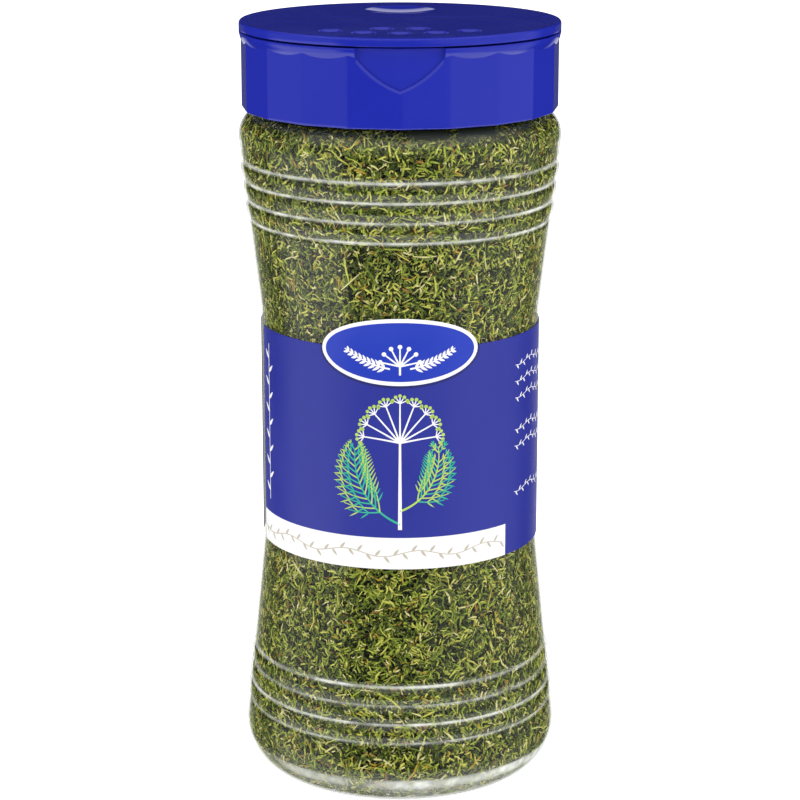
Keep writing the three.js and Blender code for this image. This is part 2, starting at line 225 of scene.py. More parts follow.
def makeFinishGroup():
    # Fine unevenness of a surface: a roughness between two values, a soft mask and a height
    tree, inside, out = newGroup(
        "surfaceFinish",
        [("Scale", "Float", 400.0), ("Patch Scale", "Float", 40.0),
         ("Smooth Roughness", "Float", 0.25), ("Dull Roughness", "Float", 0.4)],
        [("Roughness", "Float"), ("Mask", "Float"), ("Height", "Float")])
    place = addNode(tree, "TexCoord")
    fine = addNode(tree, "TexNoise", Detail=3.0, Roughness=0.6)
    patches = addNode(tree, "TexNoise", Detail=2.0, Roughness=0.5)
    mixed = addNode(tree, "Math", {"operation": "MULTIPLY_ADD"})
    mixed.inputs[1].default_value = 0.4
    spread = addNode(tree, "MapRange", From_Min=0.45, From_Max=0.95)
    join = tree.links.new
    join(place.outputs["Object"], fine.inputs["Vector"])
    join(place.outputs["Object"], patches.inputs["Vector"])
    join(inside.outputs["Scale"], fine.inputs["Scale"])
    join(inside.outputs["Patch Scale"], patches.inputs["Scale"])
    join(fine.outputs["Fac"], mixed.inputs[0])
    join(patches.outputs["Fac"], mixed.inputs[2])
    join(mixed.outputs[0], spread.inputs["Value"])
    join(inside.outputs["Smooth Roughness"], spread.inputs["To Min"])
    join(inside.outputs["Dull Roughness"], spread.inputs["To Max"])
    join(spread.outputs["Result"], out.inputs["Roughness"])
    join(patches.outputs["Fac"], out.inputs["Mask"])
    join(fine.outputs["Fac"], out.inputs["Height"])
    return tree


finishGroup = makeFinishGroup()


def newMaterial(name, colour, roughness, finish, tone=None, bump=0.0, **sockets):
    # colour drifts to tone in soft patches, both linear. finish: the group's fine scale and patch scale.
    material = bpy.data.materials.new(name)
    material.use_nodes = True
    material.diffuse_color = (*colour, 1)
    tree = material.node_tree
    shader = tree.nodes["Principled BSDF"]
    shader.inputs["Base Color"].default_value = (*colour, 1)
    for socket, value in sockets.items():
        shader.inputs[socket.replace("_", " ")].default_value = value
    group = tree.nodes.new("ShaderNodeGroup")
    group.node_tree = finishGroup
    settings = zip(("Scale", "Patch Scale", "Smooth Roughness", "Dull Roughness"), (*finish, *roughness))
    for socket, value in settings:
        group.inputs[socket].default_value = value
    tree.links.new(group.outputs["Roughness"], shader.inputs["Roughness"])
    if tone:
        mix = addNode(tree, "Mix", {"data_type": "RGBA"})
        mix.inputs["A"].default_value = (*colour, 1)
        mix.inputs["B"].default_value = (*tone, 1)
        tree.links.new(group.outputs["Mask"], mix.inputs["Factor"])
        tree.links.new(mix.outputs["Result"], shader.inputs["Base Color"])
    if bump:
        relief = addNode(tree, "Bump", Strength=bump, Distance=0.0001)
        tree.links.new(group.outputs["Height"], relief.inputs["Height"])
        tree.links.new(relief.outputs["Normal"], shader.inputs["Normal"])
    return material


clearLook = {
    "tint": (0.985, 0.99, 0.98, 1),
    "paintedLight": (0.80, 0.82, 0.76),           # painted highlight for the groove lines and painted floor reflection for the bands round the heel, where the wall is thick and bends the light
    "paintedLightRoughness": (0.3, 0.45),
    "paintedLightFinish": (220.0, 45.0),
    "shadow": (0.02, 0.025, 0.012),       # painted shade: a thin dark line below each groove, and the shadow under the cap
    "edge": (0.20, 0.215, 0.115),         # where it is seen along its length
    "edgeMost": 0.75,
    "edgePower": 3.2,
    "glossLeast": 0.05,
    "glossMost": 0.24,
    "glossPower": 4.5,
    "glossRoughness": 0.2,
    "fineBreak": (2.6, -0.3),             # how fine noise breaks up the painted highlights and painted shade: its factor, and what is added
    "patchBreak": (3.4, -0.7),            # the same for wide soft patches
}


def scaled(tree, source, power, most, least=0.0):
    # least + most * source ** power
    raised = addNode(tree, "Math", {"operation": "POWER"})
    spread = addNode(tree, "Math", {"operation": "MULTIPLY_ADD"})
    raised.inputs[1].default_value = power
    spread.inputs[1].default_value, spread.inputs[2].default_value = most, least
    tree.links.new(source, raised.inputs[0])
    tree.links.new(raised.outputs[0], spread.inputs[0])
    return spread.outputs[0]


def joined(tree, operation, first, second):
    node = addNode(tree, "Math", {"operation": operation})
    for socket, value in zip(node.inputs, (first, second)):
        if isinstance(value, float):
            socket.default_value = value
        else:
            tree.links.new(value, socket)
    return node.outputs[0]


def makeClearPlastic():
    # Thin clear plastic: see-through, glossier and hazier at a slant, with painted highlights and painted
    # shade where the jar's point attribute puts them
    look = clearLook
    material = newMaterial("clearPlastic", look["paintedLight"], look["paintedLightRoughness"], look["paintedLightFinish"])
    tree = material.node_tree
    join = tree.links.new
    paintedLight = tree.nodes["Principled BSDF"]
    clear = addNode(tree, "BsdfTransparent", Color=look["tint"])
    gloss = addNode(tree, "BsdfGlossy", Color=(1, 1, 1, 1), Roughness=look["glossRoughness"])
    painted = addNode(tree, "Attribute", {"attribute_name": "paintedLight"})
    noise = tree.nodes["Group"].outputs
    broken = joined(tree, "MULTIPLY", scaled(tree, noise["Height"], 1.0, *look["fineBreak"]),
                    scaled(tree, noise["Mask"], 1.0, *look["patchBreak"]))
    paintedLightShare = joined(tree, "MULTIPLY", painted.outputs["Alpha"], broken)
    facing = addNode(tree, "LayerWeight", Blend=0.5)
    outer = joined(tree, "SUBTRACT", 1.0, addNode(tree, "NewGeometry").outputs["Backfacing"])
    edge = scaled(tree, facing.outputs["Facing"], look["edgePower"], look["edgeMost"])
    share = scaled(tree, facing.outputs["Facing"], look["glossPower"], look["glossMost"], look["glossLeast"])
    body, whole = addNode(tree, "MixShader"), addNode(tree, "MixShader")
    join(painted.outputs["Color"], paintedLight.inputs["Base Color"])
    join(joined(tree, "MULTIPLY", joined(tree, "MAXIMUM", edge, paintedLightShare), outer), body.inputs[0])
    join(clear.outputs[0], body.inputs[1])
    join(paintedLight.outputs[0], body.inputs[2])
    join(joined(tree, "MULTIPLY", share, outer), whole.inputs[0])
    join(body.outputs[0], whole.inputs[1])
    join(gloss.outputs[0], whole.inputs[2])
    join(whole.outputs[0], tree.nodes["Material Output"].inputs["Surface"])
    return material


satin = (0.34, 0.5)
film = (700.0, 50.0)
clearPlastic = makeClearPlastic()
bluePlastic = newMaterial(
    "bluePlastic", (0.012, 0.020, 0.330), (0.05, 0.08), (500.0, 60.0), (0.014, 0.023, 0.358), 0.04, IOR=1.49)
labelBlue = newMaterial("labelBlue", (0.014, 0.021, 0.26), satin, film, (0.017, 0.025, 0.29), 0.08)
labelWhite = newMaterial("labelWhite", (0.86, 0.86, 0.87), satin, film, (0.9, 0.9, 0.9), 0.08)
plaqueBlue = newMaterial("plaqueBlue", (0.007, 0.03, 0.40), (0.3, 0.42), film, (0.010, 0.04, 0.46), 0.08)
inkWhite = newMaterial("inkWhite", (0.85, 0.85, 0.86), (0.35, 0.5), film)
inkLime = newMaterial("inkLime", (0.36, 0.55, 0.09), (0.35, 0.5), film, (0.50, 0.66, 0.13))
inkSea = newMaterial("inkSea", (0.02, 0.38, 0.22), (0.35, 0.5), film, (0.04, 0.5, 0.30))
inkSand = newMaterial("inkSand", (0.52, 0.47, 0.38), (0.4, 0.55), film)
inkShade = newMaterial("inkShade", (0.010, 0.014, 0.15), (0.4, 0.55), film)
print("materials made")


# Jar, blown in one piece: rounded heel, two tapers with grooves, waist for the label, round shoulder, neck

jar = {
    "segments": 192,
    "step": 0.16,                         # between the wall's rows of points
    "wall": 0.3,
    # heights of the groove lines, and the strength of the painted highlight on each
    "lipHighlights": [(15.9, 0.34), (20.23, 0.54), (24.56, 0.34), (28.89, 0.56),
             (130.25, 0.62), (134.68, 0.58), (139.11, 0.56), (143.54, 0.54)],
    "lipDrop": 0.1,
    "lipWidth": 0.3,
    "lipShadow": (0.75, 0.62),            # painted shade under each groove's highlight line: its distance below the bright line, and its strength beside it
    # painted reflection of the floor, whitish bands round the heel: from, to, strength
    "heelReflections": [(0.2, 4.6, 0.34), (4.0, 7.4, 0.6)],
    "capShade": (151.2, 153.4, 0.66),     # darker close under the cap: from, full, strength
    "leastPaintedLight": 0.02,
    "pushUp": 3.0,
    "standInner": 24.8,
    "standRing": ((26.0, 0.9), (1.3, 0.9)),
    "heel": {"foot": 28.14, "radius": 36.27, "height": 10.07},
    "lowerTaper": {"start": (35.86, 13.9), "slope": -0.1024, "end": 55.0},
    "waistRadius": 31.70,
    "upperTaper": {"start": (31.70, 108.7), "slope": 0.116, "end": 144.5},
    "lowerGrooves": [15.9 + 4.33 * k for k in range(4)],
    "upperGrooves": [130.25 + 4.43 * k for k in range(4)],
    "grooveMargin": 2.4,                  # how far past the outer grooves their shape reaches
    "grooveDepth": 0.42,
    "grooveWidth": 0.5,
    "ridgeSwell": 0.42,
    "ridgeRound": 0.8,
    "innerGrooves": 0.5,                  # how much of the grooves shows on the wall's inner face
    "shoulderFoot": (35.96, 145.8, 0.16),
    "shoulder": {"radius": 36.29, "height": 149.2, "round": 6.0},
    "neckFoot": (155.6, 155.0, 155.2),    # outside, in the bore, and for the filling's wall
    "neckRadius": 30.1,
    "neckBore": 28.2,
    "neckRound": 0.3,
    "beadHeight": 164.0,
    "beadRadius": 31.3,
    "beadRise": (0.6, 1.8),               # half its height at its face and at its foot
    "beadRound": 0.15,
}


def tapered(taper, height):
    return taper["start"][0] + taper["slope"] * (height - taper["start"][1])


def grooved(height, grooves, share=1.0):
    # Change of radius near a height: round ridges that meet in narrow grooves
    if grooves[0] < height < grooves[-1]:
        pitch = grooves[1] - grooves[0]
        along = (height - grooves[0]) % pitch / pitch
        rise = (1 - (2 * along - 1) ** 2) ** jar["ridgeRound"]
        return share * (rise * (jar["grooveDepth"] + jar["ridgeSwell"]) - jar["grooveDepth"])
    away = min(abs(height - grooves[0]), abs(height - grooves[-1]))
    return -share * jar["grooveDepth"] * math.exp(-((away / jar["grooveWidth"]) ** 2))


def baseCurve(reach, count, lift=0.0):
    # The pushed-up base, from its middle out
    radii = np.linspace(0, reach, count)
    return [(r, jar["pushUp"] * math.cos(math.pi / 2 * r / jar["standInner"]) + lift) for r in radii]


def taperCurve(taper, heights, inset=0.0):
    return [(tapered(taper, z) - inset, z) for z in heights]


def grooveCurve(taper, heights, grooves, inset=0.0, share=1.0):
    return [(tapered(taper, z) - inset + grooved(z, grooves, share), z) for z in heights]


def eased(start, end, steps):
    # Curve between two (radius, height, slope) ends
    (r0, z0, s0), (r1, z1, s1) = start, end
    span = z1 - z0
    points = []
    for t in np.linspace(0, 1, steps + 1):
        r = ((2 * t**3 - 3 * t**2 + 1) * r0 + (t**3 - 2 * t**2 + t) * span * s0
             + (3 * t**2 - 2 * t**3) * r1 + (t**3 - t**2) * span * s1)
        points.append((r, z0 + span * t))
    return points


def heelArc(fromAngle, toAngle, steps, inset=0.0):
    heel = jar["heel"]
    radii = (heel["radius"] - heel["foot"] - inset, heel["height"] - inset)
    return arc((heel["foot"], heel["height"]), radii, fromAngle, toAngle, steps)


def shoulderArc(fromAngle, toAngle, steps, inset=0.0):
    shoulder = jar["shoulder"]
    bend = shoulder["round"] - inset
    centre = (shoulder["radius"] - shoulder["round"], shoulder["height"])
    return arc(centre, (bend, bend), fromAngle, toAngle, steps)


def jarOutside():
    lower, upper, heel, shoulder = jar["lowerTaper"], jar["upperTaper"], jar["heel"], jar["shoulder"]
    step, margin, waist = jar["step"], jar["grooveMargin"], jar["waistRadius"]
    points = baseCurve(jar["standInner"] * 0.97, 10) + arc(*jar["standRing"], 200, 270, 4)
    points += heelArc(-88, -2, 26)
    points += eased((heel["radius"], heel["height"], 0), (*lower["start"], lower["slope"]), 5)
    high = jar["lowerGrooves"][-1] + margin
    points += grooveCurve(lower, np.arange(lower["start"][1] + step, high, step), jar["lowerGrooves"])
    points += taperCurve(lower, np.linspace(high, lower["end"], 8))
    points += [(waist, lower["end"] + 1.0), (waist, 80.0), (waist, upper["start"][1] - 1.2)]
    low = jar["upperGrooves"][0] - margin
    points += taperCurve(upper, np.linspace(upper["start"][1] + 0.6, low - step, 7))
    points += grooveCurve(upper, np.arange(low, upper["end"] + 1.0, step), jar["upperGrooves"])
    points += eased(jar["shoulderFoot"], (shoulder["radius"], shoulder["height"], 0), 6)
    return points + shoulderArc(6, 88, 14)


def jarInside(step):
    # The wall's inner face, from the base up
    lower, upper, wall, share = jar["lowerTaper"], jar["upperTaper"], jar["wall"], jar["innerGrooves"]
    margin, waist = jar["grooveMargin"], jar["waistRadius"] - wall
    points = baseCurve(jar["standInner"], 8, wall) + heelArc(-84, 0, 14, wall)
    high = jar["lowerGrooves"][-1] + margin
    heights = np.arange(lower["start"][1], high, 2 * step)
    points += grooveCurve(lower, heights, jar["lowerGrooves"], wall, share)
    points += taperCurve(lower, np.linspace(high, lower["end"], 4), wall)
    points += [(waist, lower["end"] + 1.0), (waist, upper["start"][1] - 1)]
    low = jar["upperGrooves"][0] - margin
    points += taperCurve(upper, np.linspace(upper["start"][1] + 0.6, low - step, 4), wall)
    heights = np.arange(low, upper["end"] + 0.6, 2 * step)
    points += grooveCurve(upper, heights, jar["upperGrooves"], wall, share)
    return points + shoulderArc(-20, 84, 10, wall)


def paintedLightAt(radius, height):
    # Colour and strength painted on the outside: highlight lines on the grooves with painted shade below
    # each, a painted floor reflection in soft bands round the heel, and painted shade at the top under the
    # cap
    below, beside = jar["lipShadow"]
    paintedLight, shadow, least = clearLook["paintedLight"], clearLook["shadow"], jar["leastPaintedLight"]
    looks = [(least, clearLook["edge"])]
    for middle, strength in jar["lipHighlights"]:
        away = height - middle + jar["lipDrop"]
        looks.append((strength * math.exp(-((away / jar["lipWidth"]) ** 2)), paintedLight))
        looks.append((strength * beside * math.exp(-(((away + below) / jar["lipWidth"]) ** 2)), shadow))
    for low, high, most in jar["heelReflections"]:
        if low < height < high and radius > jar["heel"]["foot"]:
            looks.append((most * math.sin(math.pi * (height - low) / (high - low)) ** 0.7, paintedLight))
    start, full, most = jar["capShade"]
    looks.append((most * min(1.0, max(0.0, (height - start) / (full - start))), shadow))
    strength, colour = max(looks)
    return (*colour, strength if strength > least else 0.0)


def neckCurve():
    neck, bore, rim = jar["neckRadius"], jar["neckBore"], jar["neckRound"]
    bead, face, middle = jar["beadHeight"], jar["beadRadius"], jar["beadRadius"] - jar["beadRound"]
    near, far = jar["beadRise"]
    footOutside, footInside, _ = jar["neckFoot"]
    return [(neck, footOutside), (neck, bead - far), (middle, bead - near), (face, bead),
            (middle, bead + near), (neck, bead + far), (neck, neckTop - rim), (neck - rim, neckTop),
            (bore + rim, neckTop), (bore, neckTop - rim), (bore, footInside)]


def makeJar():
    outside = jarOutside()
    points, faces = lathe(outside + neckCurve() + jarInside(jar["step"])[::-1], jar["segments"])
    piece = addPiece("clearJar", points, faces, [clearPlastic], None, 50)
    outer = {(round(r, 5), round(z, 5)) for r, z in outside}
    # Point colours of the painted highlights, painted floor reflection and painted shade on the outside
    colours = []
    for x, y, z in points:
        key = (round(math.hypot(x, y), 5), round(z, 5))
        colours += paintedLightAt(*key) if key in outer else (*clearLook["edge"], 0.0)
    paintedLight = piece.data.attributes.new("paintedLight", "FLOAT_COLOR", "POINT")
    paintedLight.data.foreach_set("color", colours)
    return finished(piece, "jar", "clear_pet", "jar")


makeJar()
print("jar made")


# Dried dill: a near-black core, painted shade that shows between the bits, and many small chopped needles and
# bits of stem round it

dill = {
    "top": 163.0,
    "topDrop": 0.3,                       # how far the bits on top lie below it
    "topInset": 0.6,
    "clearance": 0.06,
    "coreInset": 2.2,
    "bitLength": (0.8, 1.6, 4.4),         # shortest, usual, longest
    "lengthSpread": 0.42,
    "bitWidth": (0.26, 0.68),
    "flatness": 0.62,
    "endTaper": 0.5,                      # least width of an end, as a share of the middle
    "bend": 0.24,                         # usual bow of a bit, as a share of its length
    "depth": (0.1, 2.1),
    "tilt": 10.0,
    "perArea": 3.1,                       # bits for each square millimetre of wall
    "stems": 170,
    "stemLength": (3.2, 6.4),
    "stemWidth": (0.34, 0.6),
    "roughness": (0.65, 0.85),
    "seed": 7,
}
dillTints = {                             # linear colour, share of the bits, share of the stems
    # near-black bits: painted shade, standing for the dark gaps deep in the filling
    "dillPaintedShade": ((0.018, 0.024, 0.004), 0.13, 0.0),
    "dillDeep": ((0.065, 0.095, 0.010), 0.20, 0.06),
    "dillMid": ((0.185, 0.250, 0.026), 0.22, 0.18),
    "dillBright": ((0.400, 0.480, 0.055), 0.20, 0.20),
    "dillLime": ((0.700, 0.690, 0.130), 0.18, 0.22),
    "dillStraw": ((0.880, 0.810, 0.370), 0.06, 0.28),
    "dillGold": ((0.560, 0.370, 0.040), 0.025, 0.04),
    "dillBrown": ((0.400, 0.200, 0.045), 0.015, 0.02),
}
labelTop = 106.4
labelHold = 1.5                           # how far the open filling reaches behind the label's edges
dillBands = {                             # heights between which each piece of the filling lies at the wall
    "dillHeel": (0.5, 13.5),
    "dillLower": (13.5, 29.5),
    "dillWaist": (29.5, 44.0),
    "dillBelowLabel": (44.0, labelBottom + labelHold),
    "dillAboveLabel": (labelTop - labelHold, 119.0),
    "dillUpper": (119.0, 132.5),
    "dillRidges": (132.5, 146.0),
    "dillShoulder": (146.0, 157.5),
}
dillMaterials = [
    newMaterial(name, look[0], dill["roughness"], (1500.0, 300.0)) for name, look in dillTints.items()]
# Near-black material of the filling's core: painted shade
shadeCoreMaterial = newMaterial(
    "dillShadeCore", (0.010, 0.015, 0.003), (0.8, 0.95), (1400.0, 300.0), (0.03, 0.045, 0.008), 0.6)

insideNeck = [(jar["neckBore"], height) for height in (jar["neckFoot"][2], neckTop)]
insideWall = np.vstack([jarInside(0.2), insideNeck])
alongWall = np.concatenate([[0], np.cumsum(np.linalg.norm(np.diff(insideWall, axis=0), axis=1))])
footRow = int(np.argmin(insideWall[:, 1]))            # where the base turns up into the wall


def wallAt(place):
    # Radius, height and outward direction of the inner face at distances along it from the base's middle
    reach = 1.0
    here, before, after = (
        np.stack([np.interp(place + step, alongWall, insideWall[:, k]) for k in (0, 1)], axis=1)
        for step in (0, -reach, reach))
    ahead = after - before
    ahead /= np.linalg.norm(ahead, axis=1)[:, None]
    return here[:, 0], here[:, 1], ahead[:, 1], -ahead[:, 0]


def placeAt(height):
    # Distance along the inner face, of a height on the wall
    return float(np.interp(height, insideWall[footRow:, 1], alongWall[footRow:]))


def heldInside(points):
    # Moves points that would reach through the jar's wall back to its inner face
    radius, height = np.hypot(points[:, 0], points[:, 1]), points[:, 2].copy()
    clear, wall = dill["clearance"], jar["wall"]
    heel, shoulder = jar["heel"], jar["shoulder"]
    bend = shoulder["round"] - wall - clear
    corners = [(heel["foot"], heel["height"], heel["radius"] - heel["foot"] - wall - clear,
                heel["height"] - wall - clear, -1),
               (shoulder["radius"] - shoulder["round"], shoulder["height"], bend, bend, 1)]
    wallRadius = np.interp(height, insideWall[footRow:, 1], insideWall[footRow:, 0])
    newRadius = np.minimum(radius, wallRadius - clear)
    for middle, level, wide, high, side in corners:
        off = np.hypot((radius - middle) / wide, (height - level) / high)
        within = (radius > middle) & ((height - level) * side > 0)
        far = within & (off > 1)
        newRadius = np.where(within, radius, newRadius)
        newRadius = np.where(far, middle + (radius - middle) / np.maximum(off, 1), newRadius)
        height = np.where(far, level + (height - level) / np.maximum(off, 1), height)
    floor = np.interp(newRadius, insideWall[:footRow + 1, 0], insideWall[:footRow + 1, 1]) + clear
    height = np.clip(height, floor, dill["top"])
    share = newRadius / np.maximum(radius, 1e-6)
    return np.stack([points[:, 0] * share, points[:, 1] * share, height], axis=1)


def bitMesh(name, centres, outward, along, lengths, widths, rng, tints):
    # Bowed three-sided bars, given by their centres and directions
    count = len(centres)
    across = np.cross(outward, along)
    across /= np.linalg.norm(across, axis=1)[:, None]
    normal = np.cross(along, across)
    roll = rng.uniform(0, 2 * np.pi, count)
    bow = rng.normal(0, dill["bend"] / 2, count) * lengths
    rows = []
    for station in (-1, 0, 1):
        middle = centres + along * (station * lengths / 2)[:, None]
        middle = middle + across * (bow * (0.5 - station * station))[:, None]
        reach = widths / 2 * (1.0 if station == 0 else rng.uniform(dill["endTaper"], 1.0, count))
        for k in range(3):
            turn = roll + k * 2 * np.pi / 3
            rows.append(middle + across * (np.cos(turn) * reach)[:, None]
                        + normal * (np.sin(turn) * reach * dill["flatness"])[:, None])
    points = heldInside(np.stack(rows, axis=1).reshape(-1, 3))
    pattern = [[0, 2, 1], [6, 7, 8]]
    for s in (0, 3):
        pattern += [[s + a, s + b, s + 3 + b, s + 3 + a] for a, b in ((0, 1), (1, 2), (2, 0))]
    faces = [[base + i for i in face] for base in range(0, count * 9, 9) for face in pattern]
    piece = addPiece(name, points, faces, dillMaterials, np.repeat(tints, len(pattern)), 180)
    return finished(piece, "jar", "dried_dill")


def pickTints(rng, count, column=1):
    shares = np.array([look[column] for look in dillTints.values()])
    return rng.choice(len(shares), count, p=shares / shares.sum())


def bitSizes(rng, count):
    shortest, usual, longest = dill["bitLength"]
    lengths = np.clip(usual * np.exp(rng.normal(0, dill["lengthSpread"], count)), shortest, longest)
    return lengths, rng.uniform(*dill["bitWidth"], count)


def wallBits(name, start, end, azimuths, seed, stems=False):
    # Bits that lie against the wall between two distances along it and two azimuths
    rng = np.random.default_rng(seed)
    steps = np.linspace(start, end, 400)
    radii = wallAt(steps)[0]
    swept = np.concatenate([[0], np.cumsum((radii[1:] + radii[:-1]) / 2 * np.diff(steps))])
    area = swept[-1] * math.radians(azimuths[1] - azimuths[0])
    count = dill["stems"] if stems else int(area * dill["perArea"])
    radius, height, out, up = wallAt(np.interp(rng.uniform(0, swept[-1], count), swept, steps))
    turns = np.radians(rng.uniform(*azimuths, count))
    lengths, widths = bitSizes(rng, count)
    if stems:
        lengths, widths = rng.uniform(*dill["stemLength"], count), rng.uniform(*dill["stemWidth"], count)
    near, far = dill["depth"]
    depths = near + (far - near) * rng.random(count) ** (2.5 if stems else 1.3) + widths * 0.2
    spoke = np.stack([np.sin(turns), -np.cos(turns), np.zeros(count)], axis=1)
    rise = np.array([0.0, 0.0, 1.0])
    outward = spoke * out[:, None] + rise * up[:, None]
    slope = rise * out[:, None] - spoke * up[:, None]
    level = np.stack([np.cos(turns), np.sin(turns), np.zeros(count)], axis=1)
    heading = rng.uniform(0, np.pi, count)
    tilt = rng.normal(0, np.radians(dill["tilt"]), count)
    flat = level * np.cos(heading)[:, None] + slope * np.sin(heading)[:, None]
    along = flat * np.cos(tilt)[:, None] + outward * np.sin(tilt)[:, None]
    centres = spoke * radius[:, None] + rise * height[:, None] - outward * depths[:, None]
    tints = pickTints(rng, count, 2 if stems else 1)
    return bitMesh(name, centres, outward, along, lengths, widths, rng, tints)


def topBits(name, height, radius, seed):
    # Bits that lie level on top of the filling
    rng = np.random.default_rng(seed)
    count = int(math.pi * radius**2 * dill["perArea"])
    reach = radius * np.sqrt(rng.random(count))
    turns = rng.uniform(0, 2 * np.pi, count)
    lengths, widths = bitSizes(rng, count)
    heading = rng.uniform(0, 2 * np.pi, count)
    tilt = rng.normal(0, np.radians(dill["tilt"]), count)
    level = np.cos(tilt)
    along = np.stack([np.cos(heading) * level, np.sin(heading) * level, np.sin(tilt)], axis=1)
    outward = np.tile([0.0, 0.0, 1.0], (count, 1))
    depths = dill["depth"][1] * rng.random(count)
    centres = np.stack([reach * np.cos(turns), reach * np.sin(turns), height - depths], axis=1)
    return bitMesh(name, centres, outward, along, lengths, widths, rng, pickTints(rng, count))


def makeCore():
    # Near-black body of the filling, a little inside the bits: painted shade seen in the gaps between them.
    # It follows the inner face.
    inset = dill["coreInset"]
    radius, height, out, up = wallAt(np.linspace(2.0, placeAt(dill["top"] - inset), 90))
    walls = [(float(r), float(z)) for r, z in zip(radius - out * inset, height - up * inset)]
    points, faces = lathe([(0, walls[0][1])] + walls + [(0, walls[-1][1])], 96)
    core = addPiece("dillShadeCore", points, faces, [shadeCoreMaterial], None, 50)
    return finished(core, "jar", "dried_dill", "dill_filling")


def makeDill():
    makeCore()
    seed, allRound = dill["seed"], (0, 360)
    for k, (name, (low, high)) in enumerate(dillBands.items()):
        wallBits(name, placeAt(low), placeAt(high), allRound, seed + k)
    bare = (placeAt(labelBottom + labelHold), placeAt(labelTop - labelHold), (267, 287))
    wallBits("dillStrip", *bare, seed + 10)
    wallBits("dillBase", 0.5, placeAt(0.5), allRound, seed + 11)
    wallBits("dillStemsLower", placeAt(8.0), placeAt(labelBottom), allRound, seed + 12, stems=True)
    wallBits("dillStemsUpper", placeAt(labelTop), placeAt(152.0), allRound, seed + 13, stems=True)
    topBits("dillTop", dill["top"] - dill["topDrop"], jar["neckBore"] - dill["topInset"], seed + 14)


makeDill()
print("dill made")


# Label: a printed film round the waist, with an oval plaque that rises above its top edge

label = {
    "inner": 31.74,
    "outer": 31.92,
    "bottom": labelBottom,
    "top": labelTop,
    "start": -75.5,
    "end": 270.0,
    "bandTop": 63.3,                      # white band along the bottom
    "bandEnd": 48.2,
    "columnStep": 1.25,
    "ink": (0.03, -0.02),                 # heights of the print's two faces off the label's face
}
plaque = {
    "height": 105.8,
    "halfWidth": 17.8,
    "halfHeight": 7.6,
    "border": 0.9,
    "thickness": 0.16,
    "leans": ((103.5, 0.05), (108.7, 0.07)),      # heights from which it leans out, and how much
    "columns": 64,
    "rows": 10,
    "rimLift": 0.03,
    "fieldLift": 0.05,
    "shadow": (0.7, 0.005, 0.02),         # how far it reaches past the rim, its lift and its thickness
}


def makeLabel():
    end = label["bandEnd"]
    azimuths = [a for a in np.arange(label["start"], label["end"], label["columnStep"]) if abs(a - end) > 0.4]
    azimuths = sorted(azimuths + [end, label["end"]])
    heights = [label["bottom"], label["bandTop"], (label["bandTop"] + label["top"]) / 2, label["top"]]
    points = [polar(radius, math.radians(a), z)
              for radius in (label["outer"], label["inner"]) for a in azimuths for z in heights]
    front, back, edge = sheetFaces(len(azimuths), len(heights))
    white = [int(a < end - 0.1) for a in azimuths[:-1]]
    slots = [w if row == 0 else 0 for w in white for row in range(len(heights) - 1)]
    slots += [1] * len(back) + white + [0] * (len(edge) - len(white))
    piece = addPiece("labelFilm", points, front + back + edge, [labelBlue, labelWhite], slots, 40)
    return finished(piece, "jar", "label_film", "label")


def plaqueRadius(height):
    # The film's face up to the waist's end, then leaning out with the taper
    return label["outer"] + sum(max(0, height - start) * lean for start, lean in plaque["leans"])


def ovalSheet(grow, lift, thickness):
    # Closed oval film in the plaque's place, larger by grow and lifted off the label's face
    halfWidth, halfHeight = plaque["halfWidth"] + grow, plaque["halfHeight"] + grow
    turns = np.radians(np.linspace(-89, 89, plaque["columns"] + 1))
    shares = np.linspace(-1, 1, plaque["rows"] + 1)
    points = []
    for depth in (thickness, 0):
        for t in turns:
            turn = halfWidth * math.sin(t) / label["outer"]
            for share in shares:
                z = plaque["height"] + halfHeight * math.cos(t) * share
                points.append(polar(plaqueRadius(z) + lift + depth, turn, z))
    return points, sum(sheetFaces(len(turns), len(shares)), [])


def makePlaque():
    thickness = plaque["thickness"]
    shadow = addPiece("plaqueShadow", *ovalSheet(*plaque["shadow"]), [inkShade], None, 40)
    keepSide(shadow, (0, 0, label["top"] - 0.05), (0, 0, -1), 40)
    rim = addPiece("plaqueRim", *ovalSheet(0, plaque["rimLift"], thickness), [labelWhite], None, 40)
    oval = ovalSheet(-plaque["border"], plaque["fieldLift"], thickness)
    field = addPiece("plaqueField", *oval, [plaqueBlue], None, 40)
    for piece in (shadow, rim, field):
        finished(piece, "jar", "label_film")


# Print: thin strips, leaves and dots, drawn flat as (distance round the label, height) and then bent onto it

ink = {"white": inkWhite, "lime": inkLime, "sea": inkSea, "sand": inkSand}
printed = {"flat": [], "faces": [], "slots": []}


def stamp(left, right, colour):
    # Closed thin plate between two rows of points
    base = len(printed["flat"])
    printed["flat"] += [(s, z, lift) for lift in label["ink"] for sides in zip(right, left) for s, z in sides]
    faces = sum(sheetFaces(len(left), 2), [])
    printed["faces"] += [[base + i for i in face] for face in faces]
    printed["slots"] += [list(ink).index(colour)] * len(faces)


def strip(route, widths, colour):
    route = np.array(route, float)
    ahead = np.gradient(route, axis=0)
    ahead /= np.linalg.norm(ahead, axis=1)[:, None]
    side = np.stack([-ahead[:, 1], ahead[:, 0]], axis=1)
    half = (np.broadcast_to(widths, len(route)) / 2)[:, None]
    stamp(route + side * half, route - side * half, colour)


def leaf(base, heading, length, width, colour, steps=5):
    t = np.linspace(0, 1, steps + 1)
    heading = math.radians(heading)
    route = np.array(base) + length * np.stack([t * math.cos(heading), t * math.sin(heading)], axis=1)
    strip(route, width * np.maximum(0.12, np.sin(np.pi * t ** 0.8) ** 0.8), colour)


def dot(centre, radius, colour):
    turns = np.radians(np.linspace(4, 176, 9))
    x, z = centre
    lower, upper = ([(x + radius * math.cos(a), z + side * radius * math.sin(a)) for a in turns]
                    for side in (-1, 1))
    stamp(lower, upper, colour)


